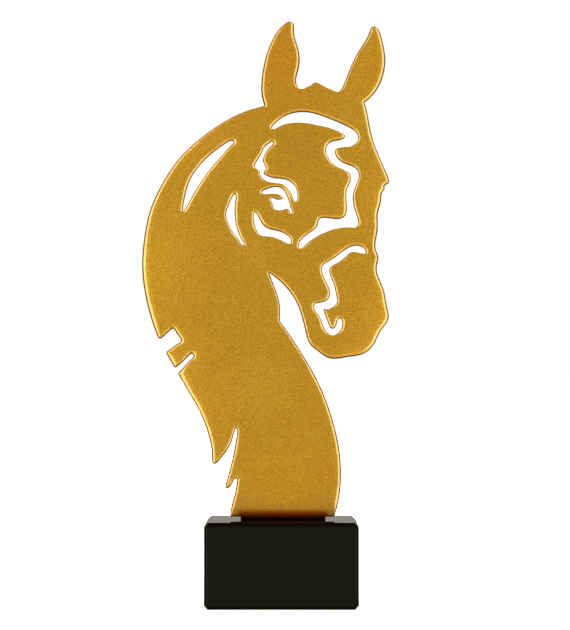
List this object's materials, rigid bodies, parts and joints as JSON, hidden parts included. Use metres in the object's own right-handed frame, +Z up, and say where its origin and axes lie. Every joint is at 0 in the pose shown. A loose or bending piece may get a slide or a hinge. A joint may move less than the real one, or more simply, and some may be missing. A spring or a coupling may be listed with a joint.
{
  "type": "equestrian trophy",
  "caption": "Equestrian trophy: a flat gold-painted metal cut-out of a horse's head and neck with rounded edges, standing upright in a black polished block.",
  "frame": {"origin": "centre of the block's underside", "axes": "+X towards the side that the horse's muzzle points to, -Y towards the viewer of the front, +Z up"},
  "size_m": [0.1057, 0.04, 0.25],
  "materials": {
    "gold_paint": "satin metallic gold",
    "black_stone": "polished"
  },
  "bodies": {
    "root": {"horse_plate": "gold_paint", "base": "black_stone"}
  },
  "joints": []
}
